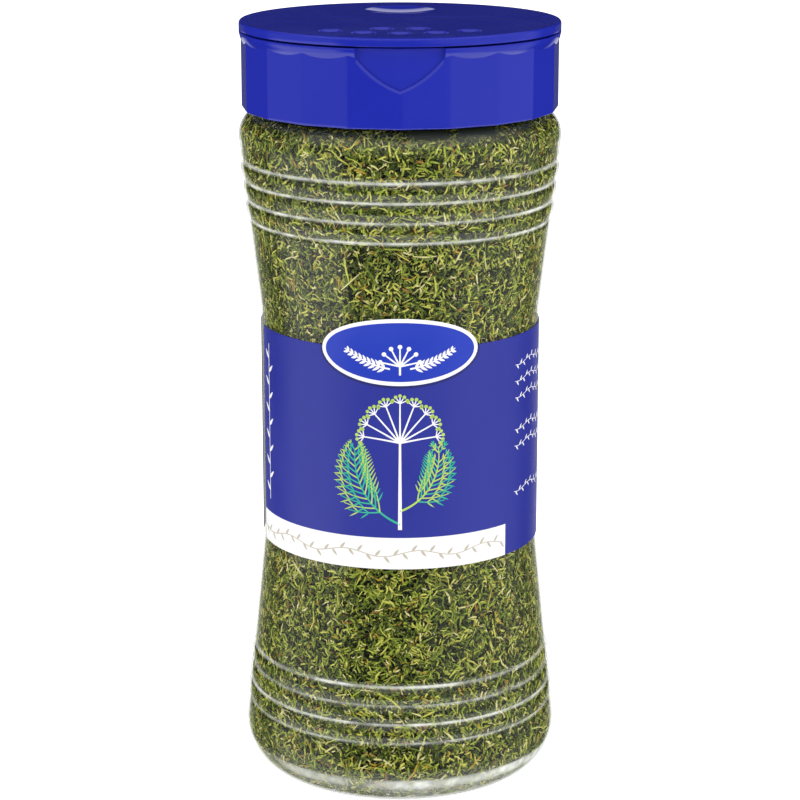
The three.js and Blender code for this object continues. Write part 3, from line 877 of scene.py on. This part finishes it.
def curved(start, heading, turn, length, steps):
    # Route that starts at a point with a heading and turns evenly, in degrees
    places, point = [tuple(start)], np.array(start, float)
    for k in range(steps):
        angle = math.radians(heading + turn * (k + 0.5) / steps)
        point = point + length / steps * np.array([math.cos(angle), math.sin(angle)])
        places.append(tuple(point))
    return places


def umbel(foot, height, reach, spread, rays, colour, seeds):
    # A stalk with a fan of rays, each with a small fan of seeds at its tip
    strip(curved(foot, 90, 0, height, 10), np.linspace(0.9, 0.5, 11), colour)
    crown = (foot[0], foot[1] + height)
    for k in range(rays):
        share = k / (rays - 1) - 0.5
        heading = 90 + spread * share
        route = curved(crown, heading, 14 * share, reach * (1 - 0.2 * abs(share)), 6)
        strip(route, np.linspace(0.42, 0.3, 7), colour)
        for m in range(-2, 3):
            tip = curved(route[-1], heading + 34 * m, 0, reach * 0.19, 2)
            strip(tip, [0.26, 0.24, 0.2], colour)
            dot(tip[-1], 0.4, seeds)


def frond(base, heading, turn, length, pairs, colour, second):
    # A feathery leaf: a curved rib with thin leaflets that fork
    rib = curved(base, heading, turn, length, 16)
    strip(rib, np.linspace(0.5, 0.22, 17), colour)
    for k in range(pairs):
        share = 0.22 + 0.76 * k / (pairs - 1)
        at = rib[int(round(share * 16))]
        direction = heading + turn * share
        reach = length * 0.36 * math.sin(math.pi * (0.28 + 0.62 * share))
        for side in (-1, 1):
            leaflet = curved(at, direction + side * 48, -side * 22, reach, 6)
            strip(leaflet, np.linspace(0.34, 0.18, 7), colour if (k + (side > 0)) % 2 else second)
            for fork, tint in ((2, colour), (4, second)):
                angle = direction + side * 48 - side * 22 * fork / 6
                for way in (-1, 1):
                    leaf(leaflet[fork], angle + 34 * way, reach * 0.34, 0.34, tint, 3)


def vine(start, end, height, colour, size=1.0):
    # A row of small leaves on a waving stalk
    def wave(s):
        return height + 0.7 * size * np.sin(s / 2.6 / size)
    s = np.arange(start, end, 0.5)
    strip(list(zip(s, wave(s))), 0.2 * size, colour)
    for k, at in enumerate(np.arange(start + 0.8 * size, end, 2.05 * size)):
        leaf((at, wave(at)), 50 if k % 2 else -50, 1.9 * size, 0.62 * size, colour, 4)


def ruledPanel(left, right, low, high, rules, colour):
    for s in (left, right):
        strip([(s, z) for z in np.linspace(low, high, 6)], 0.22, colour)
    for z in np.linspace(low, high, rules + 2):
        strip([(s, z) for s in np.linspace(left, right, 60)], 0.22 if low < z < high else 0.3, colour)


def leafySpray(side):
    # One of the two leafy sprays on the plaque
    spray = curved((side * 2.2, 102.0), 90 - side * 80, side * 26, 11, 10)
    strip(spray, np.linspace(0.4, 0.22, 11), "white")
    for k in range(1, 10):
        heading = 90 - side * (80 - 2.6 * k)
        for way in (-1, 1):
            leaf(spray[k], heading + 42 * way, 2.1 - 0.1 * k, 0.62, "white", 4)


artwork = {                               # azimuths in degrees, heights and lengths in millimetres
    "umbel": {"foot": (0, 65.2), "height": 20.0, "reach": 9.0, "spread": 156, "rays": 9},
    "leftFrond": {"base": (0, 66.5), "heading": 158, "turn": -74, "length": 21, "pairs": 13},
    "rightFrond": {"base": (0, 69.5), "heading": 20, "turn": 78, "length": 18, "pairs": 12},
    "rows": (100.0, 96.2, 92.4, 85.0, 81.2, 70.5),
    "rowSpan": (54, 112),
    "panel": (128, 236, 61, 101, 5),      # from, to, bottom, top, rules
    "stalk": (-68, 66.5, 103),            # azimuth, bottom, top
    "bandVine": (-74, 47, 59.6),          # from, to, height
}


def around(azimuth):
    return math.radians(azimuth) * label["outer"]


def drawLabel():
    umbel(**artwork["umbel"], colour="white", seeds="lime")
    frond(**artwork["leftFrond"], colour="sea", second="lime")
    frond(**artwork["rightFrond"], colour="lime", second="sea")
    start, end = (around(a) for a in artwork["rowSpan"])
    for height in artwork["rows"]:
        vine(start, end, height, "white", 0.7)
    start, end, low, high, rules = artwork["panel"]
    ruledPanel(around(start), around(end), low, high, rules, "white")
    azimuth, low, high = artwork["stalk"]
    strip([(around(azimuth), z) for z in np.linspace(low, high, 8)], 0.25, "white")
    for k in range(11):
        leaf((around(azimuth), low + 2 + 3.1 * k), 42 if k % 2 else 138, 2.8, 0.8, "white")
    start, end, height = artwork["bandVine"]
    vine(around(start), around(end), height, "sand")


def drawPlaque():
    for k in range(7):
        ray = curved((0, 102.6), 90 + 26 * (k - 3), 0, 4.4, 4)
        strip(ray, np.linspace(0.42, 0.3, 5), "white")
        dot(ray[-1], 0.5, "white")
    strip([(0, z) for z in np.linspace(100.6, 102.8, 4)], 0.45, "white")
    leafySpray(-1)
    leafySpray(1)


def makePrint():
    drawLabel()
    count = len(printed["flat"])
    drawPlaque()
    points = []
    for k, (s, z, lift) in enumerate(printed["flat"]):
        face = label["outer"] if k < count else plaqueRadius(z) + plaque["thickness"] + plaque["fieldLift"]
        points.append(polar(face + lift, s / label["outer"], z))
    piece = addPiece("labelPrint", points, printed["faces"], ink.values(), printed["slots"], 40)
    finished(piece, "jar", "label_film")


makeLabel()
makePlaque()
makePrint()
print("label made")


# Cap: a 20-sided skirt that fades into a round collar, with a shield-shaped thumb notch front and back

cap = {
    "facets": 20,
    "facetRadius": 35.22,                 # to the middle of a facet
    "cornerRadius": 35.62,
    "cornerBlend": 0.03,
    "cornerSteps": (0, 0.35, 0.8, 1.3, 3, 5, 7, 9, 11, 13, 15, 16.7, 17.2, 17.65),
    "skirtShares": (0.02, 0.25, 0.5, 0.75, 0.9, 0.98),    # rows of points up a facet
    "collarRadius": 35.9,
    "collarTop": 171.85,
    "collarBend": (0.193, 1.7),
    "scallopBevel": 0.14,
    "deckTop": lidTop - 2.3,
    "deckUnder": lidTop - 3.7,
    "deckRings": (33.4, 30.0),
    "edgeRound": 0.35,
    "notchReach": 35.5,                   # radius on which the notch's outline is drawn
    "notchHalf": 15.48,                   # degrees from the middle to the notch's side
    "notchBlend": 0.16,
    "notchShoulder": 169.9,
    "notchCusp": 163.0,
    "notchPull": (5.7, 165.0),
    "notchDepth": 0.75,
    "notchLean": 0.05,                    # how far its face leans in, for each millimetre up from its edge
    "bevel": 0.34,
    "bevelSteps": ((-1, 0), (-0.5, 0.13), (0, 0.27), (0.5, 0.42), (1, 1)),    # height and depth, as shares
    "innerSkirt": (31.75, 32.8, 157.5),
    "skirtInner": 33.8,
    "pocketTop": 168.0,
    "barHalf": 5.5,
    "flapEdge": 5.9,
}
lid = {
    "under": lidTop - 1.9,
    "topRound": (0.55, 56),               # height of the rounding, and its slope where it meets the top
    "underRound": 0.2,
    "segments": 240,
}
openings = {
    "outerRing": (26.2, (-34.7, -17.3, 0, 17.3, 34.7)),
    "innerRing": (18.1, (-12.6, 12.6)),
    "holeRadius": 2.6,
    "holeFlare": (0.25, 0.5),             # how much wider the hole is below and above
    "plugRadius": 2.05,
    "plugDepth": 1.4,
    "plugInset": (0.6, 1.6),              # from the spoon opening's edge to the rim's outside and inside
    "dimpleDepth": 0.75,
    "dimpleRadius": 2.65,
    "spoonStart": 11.0,
    "spoonRadius": 25.5,
    "spoonHalf": 20.0,
    "thumbPlace": 19.8,
    "thumbRadius": 8.2,
    "thumbDepth": 0.8,
    "rimDrop": 0.06,                      # step at the rim of a dish
}
web = {"halfLength": 35.1, "lengthSteps": 24, "acrossSteps": 8, "drops": (0.03, 0.34), "overlap": 0.12}


def facetAt(azimuth):
    # Radius of the skirt, with a soft bend at each corner
    step, blend = 360 / cap["facets"], cap["cornerBlend"]
    radius = cap["facetRadius"] / math.cos(math.radians((azimuth % step) - step / 2))
    return radius - blend * math.log1p(math.exp((radius - cap["cornerRadius"]) / blend))


def collarAt(height):
    bend, power = cap["collarBend"]
    return cap["collarRadius"] - bend * max(0.0, cap["collarTop"] - height) ** power


def scallopHeight(azimuth):
    # Where the collar runs into the facet
    bend, power = cap["collarBend"]
    return cap["collarTop"] - ((cap["collarRadius"] - facetAt(azimuth)) / bend) ** (1 / power)


def notchEdge(azimuth):
    # Height of the notch's lower outline, a curve from each shoulder to the cusp
    half = lidRadius * math.sin(math.radians(cap["notchHalf"]))
    x = min(abs(cap["notchReach"] * math.sin(math.radians(azimuth))), half)
    pullX, pullZ = cap["notchPull"]
    low, high = 0.0, 1.0
    for _ in range(24):
        t = (low + high) / 2
        at = half * (1 - t) ** 2 + 2 * pullX * t * (1 - t)
        low, high = (t, high) if at > x else (low, t)
    return cap["notchShoulder"] * (1 - t) ** 2 + 2 * pullZ * t * (1 - t) + cap["notchCusp"] * t * t


def nearNotch(azimuth):
    # Azimuth from the nearer notch's middle, front or back
    return (azimuth + 90) % 180 - 90


def capColumns():
    step, half = 360 / cap["facets"], cap["notchHalf"]
    plain = [k * step + c for k in range(cap["facets"]) for c in cap["cornerSteps"]]
    notch = [0, 0.12, 0.3] + list(np.arange(0.6, half - 0.4, 0.36))
    notch += [half + off for off in (-0.3, -0.16, -0.08, 0, 0.08, 0.16, 0.3)]
    notch = sorted({-n for n in notch} | set(notch))
    kept = [a for a in plain if abs(nearNotch(a)) > half + 0.6]
    return sorted(kept + [n % 360 for n in notch] + [180 + n for n in notch])


def smooth(low, high, value):
    t = min(1.0, max(0.0, (value - low) / (high - low)))
    return t * t * (3 - 2 * t)


def creaseAt(azimuth, inNotch):
    # Height at which the facet ends, and half the height of the bevel there
    if inNotch < 0.5:
        return scallopHeight(azimuth), cap["scallopBevel"]
    near = abs(nearNotch(azimuth))
    rise = notchEdge(near + 0.1) - notchEdge(max(0, near - 0.1))
    steep = math.hypot(1, rise / (cap["notchReach"] * math.radians(0.2)))
    return notchEdge(near), cap["bevel"] * min(steep, 2.5)


def skirtColumn(azimuth):
    # [radius, height] points up the outside of the cap at one azimuth
    side, blend = cap["notchHalf"], cap["notchBlend"]
    inNotch = 1 - smooth(side - blend, side + blend, abs(nearNotch(azimuth)))
    crease, gap = creaseAt(azimuth, inNotch)
    facet, roundness = facetAt(azimuth), cap["edgeRound"]
    inner = facet - cap["notchDepth"]
    rows = []
    for t in np.radians([90, 60, 30, 0]):
        rows.append((facet - roundness * (1 - math.cos(t)), capBottom + roundness * (1 - math.sin(t))))
    foot = capBottom + roundness
    rows += [(facet, foot + share * (crease - gap - foot)) for share in cap["skirtShares"]]
    for share, inset in cap["bevelSteps"]:
        height = crease + share * gap
        outer = max(facet, collarAt(height))
        rows.append((outer + (inner - outer) * inNotch * inset, height))
    topRound = roundness * 0.6
    low, high = crease + gap, cap["deckTop"] - topRound
    for share in np.linspace(0.14, 1, 7):
        height = low + share * (high - low)
        outer = max(facet, collarAt(height))
        rows.append((outer + (inner - cap["notchLean"] * (height - low) - outer) * inNotch, height))
    edge = rows[-1][0]
    for t in np.radians([30, 60, 90]):
        rows.append((edge - topRound * (1 - math.cos(t)), high + topRound * math.sin(t)))
    return rows


def capShape():
    inner, outer, bottom = cap["innerSkirt"]
    under, top, pocket, skirt = cap["deckUnder"], cap["deckTop"], cap["pocketTop"], cap["skirtInner"]
    inward = [(radius, top) for radius in cap["deckRings"]]
    inward += [(0, top), (0, under), (inner, under), (inner, bottom + 0.3), (inner + 0.3, bottom),
               (outer - 0.2, bottom), (outer, bottom + 0.2), (outer, pocket), (skirt, pocket),
               (skirt, capBottom + 0.2), (skirt + 0.2, capBottom)]
    azimuths = capColumns()
    columns = [skirtColumn(a) + inward for a in azimuths]
    count = len(azimuths)
    points, rings = [], []
    for row in range(len(columns[0])):
        if columns[0][row][0] < 1e-9:
            rings.append([len(points)] * count)
            points.append((0, 0, columns[0][row][1]))
            continue
        rings.append(list(range(len(points), len(points) + count)))
        for azimuth, column in zip(azimuths, columns):
            points.append(polar(column[row][0], math.radians(azimuth), column[row][1]))
    return points, skinned(rings, count, True)


def lidShape(under):
    below, (drop, lean) = lid["underRound"], lid["topRound"]
    bend = drop / math.sin(math.radians(lean))
    outline = [(0, under), (lidRadius - 1.2, under)]
    outline += arc((lidRadius - below, under + below), (below, below), -90, 0, 3)
    outline += [(lidRadius, (under + lidTop) / 2)]
    outline += arc((lidRadius - bend, lidTop - drop), (bend, bend), 0, lean, 5)
    outline += [(lidRadius - 0.9, lidTop), (lidRadius - 6, lidTop), (0, lidTop)]
    return lathe(outline, lid["segments"])


def atHoles(shape):
    # Copies of a shape, one at each sprinkle hole
    places = [polar(radius, math.radians(a), 0)
              for radius, angles in (openings["outerRing"], openings["innerRing"]) for a in angles]
    return [moved(shape, x, y) for x, y, _ in places]


def spoonOutline(inset):
    # Outline of the spoon opening: straight by the bar, round at the rim
    radius, half = openings["spoonRadius"] - inset, openings["spoonHalf"] - inset
    start = openings["spoonStart"] + inset
    corner = math.acos(half / radius)
    points = [(-half, start), (half, start)]
    turns = np.linspace(corner, math.pi - corner, 33)
    return points + [(radius * math.cos(t), radius * math.sin(t)) for t in turns]


def makeCap():
    piece = addPiece("capBody", *capShape(), [bluePlastic], None, 30)
    under, top = cap["deckUnder"], cap["deckTop"]
    bar = addPiece("bar", *lidShape(top - 0.5), [], None, None)
    keepSide(bar, (0, -cap["barHalf"], 0), (0, 1, 0))
    keepSide(bar, (0, cap["barHalf"], 0), (0, -1, 0))
    barShape = ([tuple(v.co / mm) for v in bar.data.vertices], [list(f.vertices) for f in bar.data.polygons])
    bpy.data.objects.remove(bar)
    combine(piece, barShape, "UNION")
    hole, (flareBelow, flareAbove) = openings["holeRadius"], openings["holeFlare"]
    drill = lathe([(0, under - 1), (hole + flareBelow, under - 1), (hole, under + 0.2), (hole, top - 0.2),
                   (hole + flareAbove, top + 0.3), (0, top + 0.3)], 40)
    opening = extruded(spoonOutline(0), under - 1, top + 0.4)
    combine(piece, joinedShapes(*atHoles(drill), opening), "DIFFERENCE")
    return finished(piece, "cap", "blue_cap", "cap")


def dimple(radius, depth, segments):
    # Cutter for a shallow dish, part of a ball, with a small steep rim
    rim = openings["rimDrop"]
    ball = (radius**2 + (depth - rim)**2) / (2 * (depth - rim))
    edge = math.degrees(math.asin(radius / ball))
    outline = arc((0, lidTop - depth + ball), (ball, ball), -90, edge - 90, 12)
    outline += [(radius + 0.02, lidTop + 0.01), (radius + 0.1, lidTop + 0.5), (0, lidTop + 0.5)]
    return lathe(outline, segments)


def makeSprinkleFlap():
    piece = addPiece("sprinkleFlap", *lidShape(lid["under"]), [bluePlastic], None, 30)
    keepSide(piece, (0, -cap["flapEdge"], 0), (0, -1, 0))
    radius, under = openings["plugRadius"], lid["under"]
    low = under - openings["plugDepth"]
    outline = [(0, low), (radius - 0.3, low), (radius, low + 0.3), (radius, under + 0.2), (0, under + 0.2)]
    combine(piece, joinedShapes(*atHoles(lathe(outline, 32))), "UNION")
    small = dimple(openings["dimpleRadius"], openings["dimpleDepth"], 40)
    combine(piece, joinedShapes(*atHoles(small)), "DIFFERENCE", 24)
    return finished(piece, "sprinkle_flap", "blue_cap", "sprinkle_flap")


def makeSpoonFlap():
    piece = addPiece("spoonFlap", *lidShape(lid["under"]), [bluePlastic], None, 30)
    keepSide(piece, (0, cap["flapEdge"], 0), (0, 1, 0))
    under, (outside, inside) = lid["under"], openings["plugInset"]
    low = under - openings["plugDepth"]
    combine(piece, extruded(spoonOutline(outside), low, under + 0.2), "UNION")
    combine(piece, extruded(spoonOutline(inside), low - 0.5, under), "DIFFERENCE")
    dish = dimple(openings["thumbRadius"], openings["thumbDepth"], 96)
    combine(piece, moved(dish, 0, openings["thumbPlace"]), "DIFFERENCE", 24)
    return finished(piece, "spoon_flap", "blue_cap", "spoon_flap")


def makeHingeWeb(name, side):
    # Thin strip that joins a flap to the bar
    high, low = (lidTop - drop for drop in web["drops"])
    near, far = side * (cap["barHalf"] - web["overlap"]), side * (cap["flapEdge"] + web["overlap"])
    across = np.linspace(near, far, web["acrossSteps"] + 1)
    lengths = np.linspace(-web["halfLength"], web["halfLength"], web["lengthSteps"] + 1)
    outline = [(y, high) for y in across] + [(y, low) for y in across[::-1]]
    points = [(x, y, z) for x in lengths for y, z in outline]
    count = len(outline)
    faces = capped([list(range(start, start + count)) for start in range(0, len(points), count)], count)
    if side > 0:
        faces = [face[::-1] for face in faces]
    piece = addPiece(name, points, faces, [bluePlastic], None, 40)
    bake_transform(piece)


makeCap()
makeSprinkleFlap()
makeSpoonFlap()
makeHingeWeb("sprinkleWeb", -1)
makeHingeWeb("spoonWeb", 1)
print("cap made")


# Studio: pale floor, soft lights, and the camera at the photograph's angle

studio = {
    "floorSize": 8.0,
    "floorColour": (0.8, 0.8, 0.8),
    "floorGlow": 0.80,                    # to the camera only
    "ambient": 0.82,
}
softboxes = {                             # azimuth, height of the middle, distance, width, height, watts
    "keyRight": (58, 0.15, 0.80, 0.50, 0.8, 4.4),
    "keyLeft": (-62, 0.15, 0.80, 0.50, 0.8, 4.0),
    "top": (0, 0.90, 0.02, 0.8, 0.8, 1.7),
}
mirrored = {                              # what gloss shows: azimuths and heights of soft patches, strength
    "leftLow": ((-116, -96, -52, -38), (-91, -90, -14.5, -11), 1.2),
    "leftHigh": ((-116, -96, -52, -38), (-14.5, -11, 14, 24), 0.34),
    "rightLow": ((18, 60, 104, 124), (-91, -90, -14.5, -11), 0.6),
    "rightHigh": ((6, 34, 104, 124), (-14.5, -11, 40, 60), 0.45),
    "front": ((-60, -40, 40, 60), (-4, 0, 20, 30), 0.35),
    "frontHigh": ((-100, -80, 80, 100), (15, 28, 52, 66), 0.9),
    "overLeft": ((-181, -180, -120, -100), (28, 45, 91, 92), 0.42),
    "overRight": ((100, 120, 180, 181), (28, 45, 91, 92), 0.42),
    "table": ((-140, -112, 112, 140), (-91, -90, -38, -26), 1.6),
    "around": ((-181, -180, 180, 181), (-12, -10, 1.5, 3.5), 0.035),
    "aroundLeft": ((-181, -180, -150, -138), (-91, -90, 1.5, 3.5), 0.09),
    "aroundRight": ((138, 150, 180, 181), (-91, -90, 1.5, 3.5), 0.09),
    "behindLeft": ((-181, -180, -158, -140), (-36, -26, -10.4, -9.2), 0.9),
    "behindRight": ((140, 158, 180, 181), (-36, -26, -10.4, -9.2), 0.9),
    "dishLeft": ((-181, -180, -172, -165), (8.3, 9.8, 17, 20), 0.75),
    "dishRight": ((165, 172, 180, 181), (8.3, 9.8, 17, 20), 0.75),
}
mirroredBase = 0.015
view = {"place": (0, -0.5885, 0.2404), "tilt": 75.36, "lens": 118.2, "sensor": 36.0, "nearest": 0.02}


def makeFloor():
    half = studio["floorSize"] / 2 / mm
    points = [(-half, -half, 0), (half, -half, 0), (half, half, 0), (-half, half, 0)]
    paper = newMaterial("floorPaper", studio["floorColour"], (0.7, 0.85), (80.0, 6.0), Specular_IOR_Level=0.0)
    tree = paper.node_tree
    join, plain = tree.links.new, tree.nodes["Principled BSDF"]
    white = addNode(tree, "Emission", Color=(1, 1, 1, 1), Strength=studio["floorGlow"])
    both, whole, path = addNode(tree, "AddShader"), addNode(tree, "MixShader"), addNode(tree, "LightPath")
    join(plain.outputs[0], both.inputs[0])
    join(white.outputs[0], both.inputs[1])
    join(path.outputs["Is Camera Ray"], whole.inputs[0])
    join(plain.outputs[0], whole.inputs[1])
    join(both.outputs[0], whole.inputs[2])
    join(whole.outputs[0], tree.nodes["Material Output"].inputs["Surface"])
    floor = addPiece("floor", points, [[0, 1, 2, 3]], [paper], None, None)
    floor.visible_glossy = False


def makeSoftbox(name, azimuth, middle, distance, width, height, watts):
    lamp = bpy.data.lights.new(name, "AREA")
    lamp.shape = "RECTANGLE"
    lamp.size, lamp.size_y, lamp.energy = width, height, watts
    place = Vector(polar(distance, math.radians(azimuth), middle))
    box = bpy.data.objects.new(name, lamp)
    box.location = place
    box.rotation_euler = (place - Vector((0, 0, min(middle, 0.1)))).to_track_quat("Z", "Y").to_euler()
    box.visible_camera = False
    box.visible_glossy = False
    bpy.context.scene.collection.objects.link(box)


def softBand(tree, value, start, full, fade, end):
    # 1 between full and fade, 0 outside start and end, in degrees. The value is in radians.
    sides = []
    for low, high in ((start, full), (end, fade)):
        ramp = addNode(tree, "MapRange", {"interpolation_type": "SMOOTHSTEP"},
                       From_Min=math.radians(low), From_Max=math.radians(high))
        tree.links.new(value, ramp.inputs["Value"])
        sides.append(ramp.outputs["Result"])
    return joined(tree, "MULTIPLY", *sides)


def mirroredStrength(tree):
    # Soft patches of light round the object, by azimuth (0 at the front, + to the right) and height angle
    place, split = addNode(tree, "TexCoord"), addNode(tree, "SeparateXYZ")
    tree.links.new(place.outputs["Generated"], split.inputs[0])
    azimuth = joined(tree, "ARCTAN2", split.outputs["X"], joined(tree, "MULTIPLY", split.outputs["Y"], -1.0))
    height = joined(tree, "ARCSINE", split.outputs["Z"], 0.0)
    total = mirroredBase
    for azimuths, heights, strength in mirrored.values():
        patch = joined(tree, "MULTIPLY", softBand(tree, azimuth, *azimuths), softBand(tree, height, *heights))
        total = joined(tree, "MAXIMUM", joined(tree, "MULTIPLY", patch, strength), total)
    return total


def makeWorld():
    # White to the camera, the mirrored patches to gloss, and an even light for the rest
    world = bpy.data.worlds.new("studioWorld")
    world.use_nodes = True
    world.cycles.sampling_method = "NONE"
    bpy.context.scene.world = world
    tree = world.node_tree
    join = tree.links.new
    seen = tree.nodes["Background"]
    seen.inputs["Color"].default_value = (1, 1, 1, 1)
    lit = addNode(tree, "Background", Color=(1, 1, 1, 1), Strength=studio["ambient"])
    gloss = addNode(tree, "Background", Color=(1, 1, 1, 1))
    path = addNode(tree, "LightPath")
    first, second = addNode(tree, "MixShader"), addNode(tree, "MixShader")
    join(mirroredStrength(tree), gloss.inputs["Strength"])
    join(path.outputs["Is Glossy Ray"], first.inputs[0])
    join(lit.outputs[0], first.inputs[1])
    join(gloss.outputs[0], first.inputs[2])
    join(path.outputs["Is Camera Ray"], second.inputs[0])
    join(first.outputs[0], second.inputs[1])
    join(seen.outputs[0], second.inputs[2])
    join(second.outputs[0], tree.nodes["World Output"].inputs["Surface"])


def makeCamera():
    lens = bpy.data.cameras.new("photoCamera")
    lens.lens, lens.sensor_width, lens.clip_start = view["lens"], view["sensor"], view["nearest"]
    camera = bpy.data.objects.new("photoCamera", lens)
    camera.location = view["place"]
    camera.rotation_euler = (math.radians(view["tilt"]), 0, 0)
    bpy.context.scene.collection.objects.link(camera)
    bpy.context.scene.camera = camera


makeFloor()
for name, settings in softboxes.items():
    makeSoftbox(name, *settings)
makeWorld()
makeCamera()
bpy.context.scene.view_settings.view_transform = "Standard"
print("studio made")
